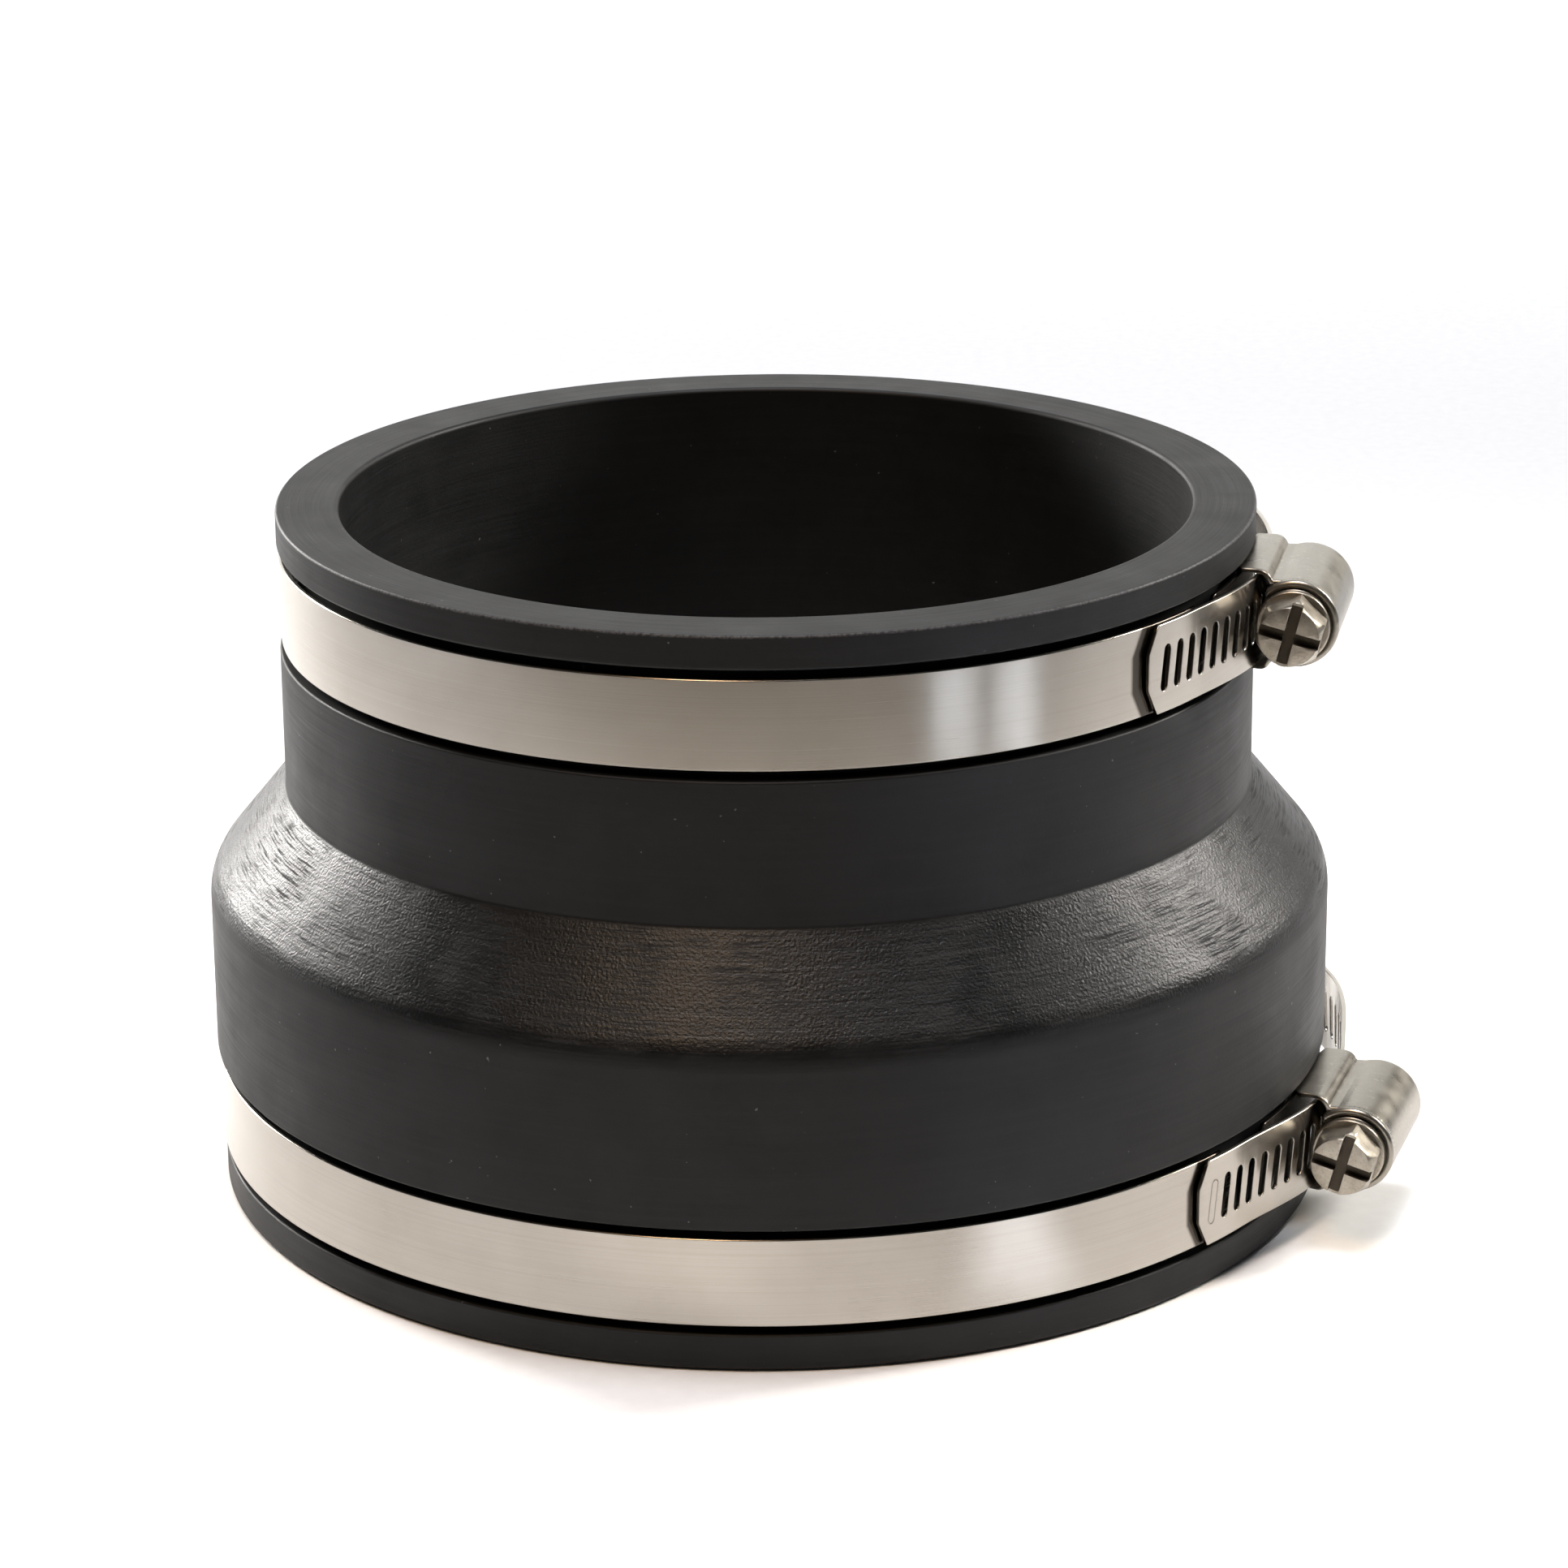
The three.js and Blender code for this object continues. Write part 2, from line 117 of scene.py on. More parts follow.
def material(name):
    """A new empty material, its tree, and a point's place on the object in millimetres."""
    made = bpy.data.materials.new(name)
    made.use_nodes = True
    tree = made.node_tree
    tree.nodes.clear()
    place = add(tree, "TexCoord").outputs["Object"]
    return made, tree, add(tree, "VectorMath", {0: place, 3: 1 / MM}, operation="SCALE")


def streaks(tree, spot, length, width, detail=3.0):
    """Noise drawn out round the pipe: features are length by width millimetres."""
    x, y, z = add(tree, "SeparateXYZ", [spot]).outputs
    flat = add(tree, "CombineXYZ", [x, y])
    radius = add(tree, "VectorMath", [flat], operation="LENGTH").outputs[1]
    across = add(tree, "Math", [z, radius], operation="SUBTRACT")
    drawn_x = add(tree, "Math", [x, 1 / length], operation="MULTIPLY")
    drawn_y = add(tree, "Math", [y, 1 / length], operation="MULTIPLY")
    drawn_z = add(tree, "Math", [across, 1 / width], operation="MULTIPLY")
    drawn = add(tree, "CombineXYZ", [drawn_x, drawn_y, drawn_z])
    return add(tree, "TexNoise", {"Vector": drawn, "Scale": 1, "Detail": detail, "Roughness": 0.6})


def rubber_material():
    """Moulded rubber: almost black and satin on the cuffs, grainier but shinier on the cone."""
    made, tree, spot = material("moulded black rubber")
    x, y, z = add(tree, "SeparateXYZ", [spot]).outputs
    flat = add(tree, "CombineXYZ", [x, y])
    radius = add(tree, "VectorMath", [flat], operation="LENGTH").outputs[1]
    # the mould's turning lines are 0.2 mm apart, the grain 0.4 mm and the dust specks 0.8 mm
    fine = streaks(tree, spot, 18, 0.22)
    long = streaks(tree, spot, 34, 0.9)
    patch = add(tree, "TexNoise", {"Vector": spot, "Scale": 1 / 9, "Detail": 4})
    grain = add(tree, "TexNoise", {"Vector": spot, "Scale": 1 / 0.42, "Detail": 3})
    speck = add(tree, "TexNoise", {"Vector": spot, "Scale": 1 / 0.8, "Detail": 1})
    # 1 on the cone, between the shoulder and the narrow cuff, and 0 on the cuffs
    rising = add(tree, "MapRange", [z, 44.6, 46, 0, 1])
    falling = add(tree, "MapRange", [z, 59.3, 60.0, 1, 0])
    outside = add(tree, "MapRange", [radius, 66, 68, 0, 1])
    cone = add(tree, "Math", [rising, falling], operation="MULTIPLY")
    cone = add(tree, "Math", [cone, outside], operation="MULTIPLY")
    # light dry streaks, strongest on the cone
    worn = add(tree, "MapRange", [long, 0.46, 0.62, 0, 1])
    broken = add(tree, "MapRange", [patch, 0.35, 0.6, 0.2, 1])
    worn = add(tree, "Math", [worn, broken], operation="MULTIPLY")
    on_cone = add(tree, "MapRange", [cone, 0, 1, 0.25, 1])
    worn = add(tree, "Math", [worn, on_cone], operation="MULTIPLY")
    # short matt dashes that break up the cone's shine
    dash = add(tree, "MapRange", [streaks(tree, spot, 6, 0.35, 2), 0.51, 0.6, 0, 1])
    dash = add(tree, "Math", [dash, cone], operation="MULTIPLY")
    broken = add(tree, "MapRange", [patch, 0.4, 0.6, 0, 1])
    dash = add(tree, "Math", [dash, broken], operation="MULTIPLY")
    share = add(tree, "MapRange", [fine, 0.3, 0.7, 0, 1])
    colours = {0: share, 6: linear("#080909"), 7: linear("#0f1011")}
    base = add(tree, "Mix", colours, data_type="RGBA").outputs[2]
    share = add(tree, "Math", [worn, 0.5], operation="MULTIPLY")
    base = add(tree, "Mix", {0: share, 6: base, 7: linear("#242322")}, data_type="RGBA").outputs[2]
    # the mould's parting line round the top edge
    flash = add(tree, "MapRange", [radius, 70.05, 70.2, 0, 1])
    at_top = add(tree, "MapRange", [z, 100.15, 100.3, 0, 1])
    flash = add(tree, "Math", [flash, at_top], operation="MULTIPLY")
    ragged = add(tree, "MapRange", [grain, 0.35, 0.6, 0.1, 0.9])
    flash = add(tree, "Math", [flash, ragged], operation="MULTIPLY")
    base = add(tree, "Mix", {0: flash, 6: base, 7: linear("#4b4b4c")}, data_type="RGBA").outputs[2]
    dust = add(tree, "MapRange", [speck, 0.79, 0.83, 0, 0.55])
    base = add(tree, "Mix", {0: dust, 6: base, 7: linear("#6d6e70")}, data_type="RGBA").outputs[2]
    rough = add(tree, "MapRange", [patch, 0.25, 0.75, 0.5, 0.62])
    lined = add(tree, "MapRange", [fine, 0.3, 0.7, -0.05, 0.05])
    rough = add(tree, "Math", [rough, lined], operation="ADD")
    shine = add(tree, "Math", [cone, 0.19], operation="MULTIPLY")
    rough = add(tree, "Math", [rough, shine], operation="SUBTRACT")
    dry = add(tree, "Math", [worn, -0.06], operation="MULTIPLY")
    rough = add(tree, "Math", [rough, dry], operation="ADD")
    matt = add(tree, "Math", [dash, 0.38], operation="MULTIPLY")
    rough = add(tree, "Math", [rough, matt], operation="ADD")
    lines = add(tree, "Bump", {"Strength": 0.25, "Distance": 0.00006, "Height": fine})
    depth = add(tree, "MapRange", [cone, 0, 1, 0.1, 0.7])
    leather = {"Strength": depth, "Distance": 0.00016, "Height": grain, "Normal": lines}
    leather = add(tree, "Bump", leather)
    depth = add(tree, "MapRange", [cone, 0, 1, 0.12, 0.4])
    ripple = {"Strength": depth, "Distance": 0.00014, "Height": long, "Normal": leather}
    ripple = add(tree, "Bump", ripple)
    finish = {"Base Color": base, "Roughness": rough, "Specular IOR Level": 0.29, "Normal": ripple}
    add(tree, "OutputMaterial", [add(tree, "BsdfPrincipled", finish)])
    return made


def rounded(corners, steps=5):
    """A closed outline of (radius, along, fillet) corners, with each corner rounded."""
    points = []
    for i, (radius, along, fillet) in enumerate(corners):
        here = Vector((radius, along))
        if not fillet:
            points.append(here)
            continue
        back = (Vector(corners[i - 1][:2]) - here).normalized()
        on = (Vector(corners[(i + 1) % len(corners)][:2]) - here).normalized()
        half = back.angle(on) / 2
        centre = here + (back + on).normalized() * fillet / math.sin(half)
        start = here + back * fillet / math.tan(half) - centre
        end = here + on * fillet / math.tan(half) - centre
        sweep = start.angle_signed(end)
        for k in range(steps + 1):
            turned = start.copy()
            turned.rotate(Matrix.Rotation(-sweep * k / steps, 2))
            points.append(centre + turned)
    return points


def spun(bm, outline, axis, steps):
    """Spins a closed outline of (radius, along) points a full turn round an axis through the origin."""
    verts = [bm.verts.new(Vector((radius, 0, 0)) + Vector(axis) * along) for radius, along in outline]
    edges = [bm.edges.new(pair) for pair in zip(verts, verts[1:] + verts[:1])]
    bmesh.ops.spin(
        bm,
        geom=verts + edges,
        cent=(0, 0, 0),
        axis=axis,
        angle=2 * math.pi,
        steps=steps,
        use_merge=True,
    )


def finished(name, bm, look):
    """Turns a mesh in millimetres into a smooth-shaded object in metres."""
    bmesh.ops.recalc_face_normals(bm, faces=bm.faces)
    bmesh.ops.scale(bm, vec=(MM, MM, MM), verts=bm.verts)
    mesh = bpy.data.meshes.new(name)
    bm.to_mesh(mesh)
    bm.free()
    mesh.materials.append(look)
    for face in mesh.polygons:
        face.use_smooth = True
    piece = bpy.data.objects.new(name, mesh)
    bpy.context.scene.collection.objects.link(piece)
    weigh = piece.modifiers.new("even_shading", "WEIGHTED_NORMAL")
    weigh.weight = 90
    return piece


def groove(clamp, outer, lip):
    """The corners of a clamp's groove, from the lip below it to the cuff's outside above it."""
    low = clamp["height"] - GROOVE["half"]
    high = clamp["height"] + GROOVE["half"]
    floor = clamp["band"] - GROOVE["depth"]
    return [(lip, low, 0.35), (floor, low, 0.4), (floor, high, 0.4), (outer, high, 0.45)]


foot_radius = WIDE_CUFF - SHOULDER["arc"] * (1 - math.cos(CONE_SLOPE))
foot_height = SHOULDER["height"] + SHOULDER["arc"] * math.sin(CONE_SLOPE)
cone_top = foot_height + (foot_radius - NARROW_CUFF) / math.tan(CONE_SLOPE)
cone_corner = SHOULDER["height"] + SHOULDER["arc"] * math.tan(CONE_SLOPE / 2)
sleeve_outline = rounded(
    [(WIDE_BORE, 0, 0.8), (WIDE_LIP, 0, 0.7)]
    + groove(CLAMPS["lower"], WIDE_CUFF, WIDE_LIP)
    + [(WIDE_CUFF, cone_corner, SHOULDER["fillet"]), (NARROW_CUFF, cone_top, 0.8)]
    + groove(CLAMPS["upper"], NARROW_CUFF, NARROW_CUFF)
    + [(NARROW_CUFF, SLEEVE_TOP, 0.4), (NARROW_BORE, SLEEVE_TOP, 0.7)]
    + [(NARROW_BORE, BORE_STEPS[0], 3), (WIDE_BORE, BORE_STEPS[1], 3)],
    8,
)
bm = bmesh.new()
spun(bm, sleeve_outline, (0, 0, 1), SLEEVE_STEPS)
bmesh.ops.remove_doubles(bm, verts=bm.verts, dist=1e-4)
piece = finished("sleeve_moulding", bm, rubber_material())
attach(piece, "sleeve")
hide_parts("rubber_sleeve")

# ---------------------------------------------------------------- smooth bands
# Bright rolled stainless strip, half an inch wide, with fine brushing along its length. It is
# rolled into a hoop that starts in a chamfered tongue under the screw.

BAND_WIDTH = 12.7
BAND_HALF = BAND_WIDTH / 2
SHEET = 0.65
TONGUE = 21.0
HOOP_ROUNDING = 0.2
TIP_CHAMFER = (2.0, 3.8)
PITCH = 3.2
SLOT = {"length": 6.6, "width": 1.6, "lean": math.radians(9)}
# a height between the two clamps, and how far past the screw the painted shade under the strip runs on the
# hoop
BETWEEN_CLAMPS = 50.0
PAINTED_SHADE_END = 60.0
# a point this far above the hoop's radius is on the strip, and the mark's line lies inside a slot's
HOOP_SURFACE = 0.15
MARK_INSET = 0.1


def clamp_place(tree, spot):
    """Which clamp a point is on (0 lower, 1 upper), its turn from the screw, and its place across."""
    low, up = CLAMPS["lower"], CLAMPS["upper"]
    x, y, z = add(tree, "SeparateXYZ", [spot]).outputs
    upper = add(tree, "Math", [z, BETWEEN_CLAMPS], operation="GREATER_THAN")
    round_pipe = add(tree, "Math", [y, x], operation="ARCTAN2")
    screw = add(tree, "MapRange", [upper, 0, 1, low["angle"], up["angle"]])
    turn = add(tree, "Math", [round_pipe, screw], operation="SUBTRACT")
    middle = add(tree, "MapRange", [upper, 0, 1, low["height"], up["height"]])
    across = add(tree, "Math", [z, middle], operation="SUBTRACT")
    return upper, turn, across


def on_hoop(tree, spot, upper):
    """1 on the hoop and 0 on the slotted strip, which lies further out, with the hoop's radius."""
    low, up = CLAMPS["lower"], CLAMPS["upper"]
    x, y, z = add(tree, "SeparateXYZ", [spot]).outputs
    flat = add(tree, "CombineXYZ", [x, y])
    radius = add(tree, "VectorMath", [flat], operation="LENGTH").outputs[1]
    hoop_radius = add(tree, "MapRange", [upper, 0, 1, low["band"], up["band"]])
    proud = add(tree, "Math", [radius, hoop_radius], operation="SUBTRACT")
    return add(tree, "Math", [proud, HOOP_SURFACE], operation="LESS_THAN"), hoop_radius


def painted_lap_shade(tree, spot):
    """Where the hoop is painted dark: painted shade under the slotted strip, and a painted dark reflection a
    little past its chamfered tip.
    """
    upper, turn, across = clamp_place(tree, spot)
    hoop, hoop_radius = on_hoop(tree, spot, upper)
    edges = []
    for clamp in (CLAMPS["lower"], CLAMPS["upper"]):
        tip = (clamp["slots"] + clamp["tip"]) * PITCH * clamp["band"] / clamp["strip"]
        edges.append(-tip - clamp["painted_shade"])
    across = add(tree, "Math", [across], operation="ABSOLUTE")
    corner = add(tree, "Math", [across, BAND_HALF - TIP_CHAMFER[1]], operation="SUBTRACT")
    corner = add(tree, "Math", [corner, 0.0], operation="MAXIMUM")
    corner = add(tree, "Math", [corner, TIP_CHAMFER[0] / TIP_CHAMFER[1]], operation="MULTIPLY")
    edge = add(tree, "MapRange", [upper, 0, 1, *edges])
    edge = add(tree, "Math", [edge, corner], operation="ADD")
    along = add(tree, "Math", [turn, hoop_radius], operation="MULTIPLY")
    past_edge = add(tree, "Math", [along, edge], operation="SUBTRACT")
    past_edge = add(tree, "MapRange", [past_edge, 0, 0.6, 0, 1])
    before_end = add(tree, "Math", [along, PAINTED_SHADE_END], operation="LESS_THAN")
    painted_shade = add(tree, "Math", [past_edge, before_end], operation="MULTIPLY")
    return add(tree, "Math", [painted_shade, hoop], operation="MULTIPLY")


def slot_mark(tree, spot):
    """The outline of one more slot on the lower strip, marked before its tip but not punched."""
    low = CLAMPS["lower"]
    upper, turn, across = clamp_place(tree, spot)
    hoop = on_hoop(tree, spot, upper)[0]
    length = add(tree, "Math", [turn, low["strip"]], operation="MULTIPLY")
    length = add(tree, "Math", [length, (low["slots"] + 1) * PITCH], operation="ADD")
    cos, sin = math.cos(SLOT["lean"]), math.sin(SLOT["lean"])
    length_cos = add(tree, "Math", [length, cos], operation="MULTIPLY")
    across_sin = add(tree, "Math", [across, sin], operation="MULTIPLY")
    side_step = add(tree, "Math", [length_cos, across_sin], operation="SUBTRACT")
    length_sin = add(tree, "Math", [length, sin], operation="MULTIPLY")
    across_cos = add(tree, "Math", [across, cos], operation="MULTIPLY")
    end_step = add(tree, "Math", [length_sin, across_cos], operation="ADD")
    straight = (SLOT["length"] - SLOT["width"]) / 2
    past_end = add(tree, "Math", [end_step], operation="ABSOLUTE")
    past_end = add(tree, "Math", [past_end, straight], operation="SUBTRACT")
    past_end = add(tree, "Math", [past_end, 0.0], operation="MAXIMUM")
    side_step = add(tree, "Math", [side_step], operation="ABSOLUTE")
    side_square = add(tree, "Math", [side_step, 2.0], operation="POWER")
    end_square = add(tree, "Math", [past_end, 2.0], operation="POWER")
    away = add(tree, "Math", [side_square, end_square], operation="ADD")
    away = add(tree, "Math", [away], operation="SQRT")
    off_line = add(tree, "Math", [away, SLOT["width"] / 2 - MARK_INSET], operation="SUBTRACT")
    off_line = add(tree, "Math", [off_line], operation="ABSOLUTE")
    mark = add(tree, "MapRange", [off_line, 0.04, 0.16, 1, 0])
    lower = add(tree, "Math", [1.0, upper], operation="SUBTRACT")
    mark = add(tree, "Math", [mark, lower], operation="MULTIPLY")
    strip = add(tree, "Math", [1.0, hoop], operation="SUBTRACT")
    return add(tree, "Math", [mark, strip], operation="MULTIPLY")


def band_material():
    """Cold-rolled stainless: a warm grey mirror that its brushing blurs along the pipe's axis."""
    made, tree, spot = material("bright rolled stainless strip")
    # real brushing is under 0.05 mm, too fine to show, so its lines are drawn 0.1 mm apart
    hair = streaks(tree, spot, 260, 0.1, 1)
    broad = streaks(tree, spot, 400, 0.9, 0)
    haze = add(tree, "TexNoise", {"Vector": spot, "Scale": 1 / 14, "Detail": 3})
    share = add(tree, "MapRange", [hair, 0.25, 0.75, 0, 1])
    colours = {0: share, 6: linear("#a59f96"), 7: linear("#b2ada5")}
    base = add(tree, "Mix", colours, data_type="RGBA").outputs[2]
    share = add(tree, "MapRange", [haze, 0.4, 0.75, 0, 0.35])
    base = add(tree, "Mix", {0: share, 6: base, 7: linear("#9a9389")}, data_type="RGBA").outputs[2]
    # painted shade: the hoop is darkened under the slotted strip, and a painted dark reflection runs just
    # past the strip's tip
    painted_shade = painted_lap_shade(tree, spot)
    base = add(tree, "Mix", {0: painted_shade, 6: base, 7: linear("#443f39")}, data_type="RGBA").outputs[2]
    mark = slot_mark(tree, spot)
    share = add(tree, "Math", [mark, 0.45], operation="MULTIPLY")
    base = add(tree, "Mix", {0: share, 6: base, 7: linear("#6b645b")}, data_type="RGBA").outputs[2]
    rough = add(tree, "MapRange", [hair, 0.2, 0.8, 0.22, 0.27])
    hazy = add(tree, "MapRange", [haze, 0.3, 0.7, -0.01, 0.02])
    rough = add(tree, "Math", [rough, hazy], operation="ADD")
    brushed = add(tree, "Bump", {"Strength": 0.1, "Distance": 0.00002, "Height": hair})
    rolled = {"Strength": 0.03, "Distance": 0.0001, "Height": broad, "Normal": brushed}
    rolled = add(tree, "Bump", rolled)
    dented = {"Strength": 0.5, "Distance": 0.0001, "Height": mark, "Normal": rolled}
    dented = add(tree, "Bump", dented, invert=True)
    # lines brushed round the pipe spread a glint along its axis, so that axis is the tangent
    turning = {"vector_type": "VECTOR", "convert_from": "OBJECT", "convert_to": "WORLD"}
    axis = add(tree, "VectorTransform", [(0, 0, 1)], **turning)
    finish = {"Base Color": base, "Metallic": 1, "Roughness": rough, "Normal": dented}
    finish |= {"Anisotropic": 0.7, "Tangent": axis}
    add(tree, "OutputMaterial", [add(tree, "BsdfPrincipled", finish)])
    return made


band_steel = band_material()


def placed_grid(bm, lines, across, place):
    """A grid of faces with its corner k of line i put at place(i, k); gives its corners."""
    corners = bmesh.ops.create_grid(bm, x_segments=lines, y_segments=across, size=1)["verts"]
    for v in corners:
        i = round((v.co.x + 1) / 2 * lines)
        k = round((v.co.y + 1) / 2 * across)
        v.co = place(i, k)
    return corners


def flat_run(bm, start, end, rows, step):
    """A flat length of strip, with rows of corners at the given places across."""
    count = max(1, round((end - start) / step))
    placed_grid(bm, count, len(rows) - 1, lambda i, k: (start + (end - start) * i / count, rows[k], 0))


def cut_corners(bm, start, along, across):
    """Takes both corners off the end of a flat strip that starts at x = start."""
    for side in (1, -1):
        bmesh.ops.bisect_plane(
            bm,
            geom=bm.verts[:] + bm.edges[:] + bm.faces[:],
            dist=1e-5,
            plane_co=(start + along, side * BAND_HALF, 0),
            plane_no=(-across, side * along, 0),
            clear_outer=True,
        )


def thicken(bm, edge_round):
    """Gives a flat strip its thickness inwards and rounds all its rims."""
    made = bmesh.ops.extrude_face_region(bm, geom=bm.faces[:])
    lower = [v for v in made["geom"] if isinstance(v, bmesh.types.BMVert)]
    bmesh.ops.translate(bm, vec=(0, 0, -SHEET), verts=lower)
    bmesh.ops.recalc_face_normals(bm, faces=bm.faces)
    rims = []
    for edge in bm.edges:
        level = abs(edge.verts[0].co.z - edge.verts[1].co.z) < 1e-4
        if level and len(edge.link_faces) == 2 and edge.calc_face_angle() > 1:
            rims.append(edge)
    bmesh.ops.bevel(
        bm,
        geom=rims,
        offset=edge_round,
        offset_type="OFFSET",
        segments=2,
        profile=0.5,
        affect="EDGES",
        material=-1,
    )


def bend(bm, clamp, arc_radius, radius_at):
    """Rolls a flat strip round the pipe: x is its length, y is across, z stands out from its face."""
    for v in bm.verts:
        angle = v.co.x / arc_radius
        radius = radius_at(angle) + v.co.z
        turned = angle + clamp["angle"]
        height = clamp["height"] + v.co.y
        v.co = Vector((radius * math.cos(turned), radius * math.sin(turned), height))


for side, clamp in CLAMPS.items():
    bm = bmesh.new()
    end = 2 * math.pi * clamp["band"] - clamp["band_end"]
    flat_run(bm, -TONGUE, end, [-BAND_HALF, 0, BAND_HALF], 1.5)
    cut_corners(bm, -TONGUE, *TIP_CHAMFER)
    thicken(bm, HOOP_ROUNDING)
    bend(bm, clamp, clamp["band"], lambda angle: clamp["band"])
    piece = finished(side + "_hoop", bm, band_steel)
    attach(piece, side + "_clamp")
    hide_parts(side + "_band")

# ---------------------------------------------------------------- slotted strips
# The same strip, punched with leaning slots that the worm drives. It lies over the hoop's end,
# rises under the worm and runs on as a free tail.

GAP = 0.3
PUNCHED_ROUNDING = 0.11
SLOTS_BEHIND = 18
SLOT_STEPS = 24
CELL_LEVELS = [0.9, 4.4, BAND_HALF]
CELL_ROWS = [-y for y in reversed(CELL_LEVELS)] + CELL_LEVELS
PLAIN_TAIL_END = SLOTS_BEHIND + 1.4
# the strip rises between these shares of the way from the screw to its tip, and again in its tail
TIP_RISE = (0.72, 0.14)
TAIL_RISE = (math.radians(11.5), math.radians(29.8))


def smooth(value, low, high):
    """An eased step from 0 at low to 1 at high."""
    share = min(1, max(0, (value - low) / (high - low)))
    return share * share * (3 - 2 * share)


def slotted_cell(bm, x_middle):
    """One pitch of flat strip round a leaning slot: a round hole drawn out, with faces to the cell's rim."""
    hole = bmesh.ops.create_circle(bm, cap_ends=False, radius=SLOT["width"] / 2, segments=SLOT_STEPS)["verts"]
    for v in hole:
        v.co = Matrix.Rotation(math.pi / SLOT_STEPS, 4, "Z") @ v.co
    hole.sort(key=lambda v: math.atan2(v.co.y, v.co.x) % (2 * math.pi))
    for v in hole:
        v.co.y += math.copysign((SLOT["length"] - SLOT["width"]) / 2, v.co.y)
        v.co = Matrix.Rotation(-SLOT["lean"], 4, "Z") @ v.co
        v.co.x += x_middle
    half = PITCH / 2
    rim = [(half, y) for y in CELL_LEVELS]
    rim += [(half - PITCH * k / 7, BAND_HALF) for k in range(1, 7)]
    rim += [(-half, y) for y in reversed(CELL_LEVELS)]
    rim += [(-x, -y) for x, y in rim]
    outer = [bm.verts.new((x_middle + x, y, 0)) for x, y in rim]
    for k in range(SLOT_STEPS):
        n = (k + 1) % SLOT_STEPS
        bm.faces.new((hole[k], outer[k], outer[n], hole[n]))


def strip_radius(clamp, tip_angle):
    """Gives the strip's outer radius at an angle: on the hoop at its tip, raised under the worm."""
    lap = clamp["band"] + GAP + SHEET

    def radius(angle):
        rise = smooth(angle, tip_angle * TIP_RISE[0], tip_angle * TIP_RISE[1])
        tail = smooth(angle, *TAIL_RISE)
        return lap + (clamp["strip"] - lap) * rise + clamp["tail_rise"] * tail

    return radius


for side, clamp in CLAMPS.items():
    bm = bmesh.new()
    for i in range(-clamp["slots"], SLOTS_BEHIND + 1):
        slotted_cell(bm, i * PITCH)
    tip = -(clamp["slots"] + clamp["tip"]) * PITCH
    flat_run(bm, tip, -(clamp["slots"] + 0.5) * PITCH, CELL_ROWS, 0.8)
    flat_run(bm, (SLOTS_BEHIND + 0.5) * PITCH, PLAIN_TAIL_END * PITCH, CELL_ROWS, 0.8)
    bmesh.ops.remove_doubles(bm, verts=bm.verts, dist=1e-3)
    cut_corners(bm, tip, *TIP_CHAMFER)
    thicken(bm, PUNCHED_ROUNDING)
    bend(bm, clamp, clamp["strip"], strip_radius(clamp, tip / clamp["strip"]))
    piece = finished(side + "_punched_strip", bm, band_steel)
    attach(piece, side + "_strip")
    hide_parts(side + "_slotted_strip")

# ---------------------------------------------------------------- housings
# Pressed stainless sheet: a dome over the worm, a waist, and two sides that wrap the strips. The
# dome's front is swaged down in two ridges round the screw.

DOME = 6.3
DOME_ARC = math.radians(108)
WAIST = Vector((-3.3, 5.95))
HOUSING_SIDE = BAND_HALF + GAP + SHEET
SIDE_WRAP = (3.3, 6.5)
LIP_GAP = 0.75
LIP_DEPTH = 1.5
LIP_REACH = 4.45
LIP_HALF_LENGTH = 6.5
SHELL_FRONT = 8.9
WRAP_SETBACK = 0.9
SHELL_REAR = 10.4
SHELL_STEPS = 28
SHELL_ROUNDING = 0.18
RING_FLOOR = -4.0
FRONT = 10.0
REAR = 11.0
WORM = {"crest": 5.2, "root": 4.2, "half": 7.6, "bite": 0.45}


def pressed_material():
    """Stainless pressed in a die: softer and duller than the strip, with fine scuffs and dents."""
    made, tree, spot = material("pressed nickel-toned stainless")
    # the die's dents are about 3.5 mm across, the scuffs 1.2 mm and the grain 0.25 mm
    broad = add(tree, "TexNoise", {"Vector": spot, "Scale": 1 / 3.5, "Detail": 3})
    fine = add(tree, "TexNoise", {"Vector": spot, "Scale": 1 / 0.25, "Detail": 3})
    scuff = {"Vector": spot, "Scale": 1 / 1.2, "Detail": 4, "Roughness": 0.7}
    scuff = add(tree, "TexNoise", scuff)
    share = add(tree, "MapRange", [broad, 0.3, 0.7, 0, 1])
    colours = {0: share, 6: linear("#8d887e"), 7: linear("#9d988e")}
    base = add(tree, "Mix", colours, data_type="RGBA").outputs[2]
    share = add(tree, "MapRange", [scuff, 0.58, 0.7, 0, 0.5])
    base = add(tree, "Mix", {0: share, 6: base, 7: linear("#bab6ad")}, data_type="RGBA").outputs[2]
    rough = add(tree, "MapRange", [broad, 0.3, 0.7, 0.27, 0.36])
    grainy = add(tree, "MapRange", [fine, 0.3, 0.7, -0.03, 0.04])
    rough = add(tree, "Math", [rough, grainy], operation="ADD")
    grain = add(tree, "Bump", {"Strength": 0.1, "Distance": 0.00006, "Height": fine})
    dents = {"Strength": 0.08, "Distance": 0.0002, "Height": broad, "Normal": grain}
    dents = add(tree, "Bump", dents)
    finish = {"Base Color": base, "Metallic": 1, "Roughness": rough, "Normal": dents}
    add(tree, "OutputMaterial", [add(tree, "BsdfPrincipled", finish)])
    return made


pressed = pressed_material()


def curve(a, bend_point, b, steps):
    """Points on the quadratic curve from a to b, without its first point."""
    a, c, b = Vector(a), Vector(bend_point), Vector(b)
    shares = [k / steps for k in range(1, steps + 1)]
    return [a * (1 - t) ** 2 + c * (2 * t * (1 - t)) + b * t**2 for t in shares]


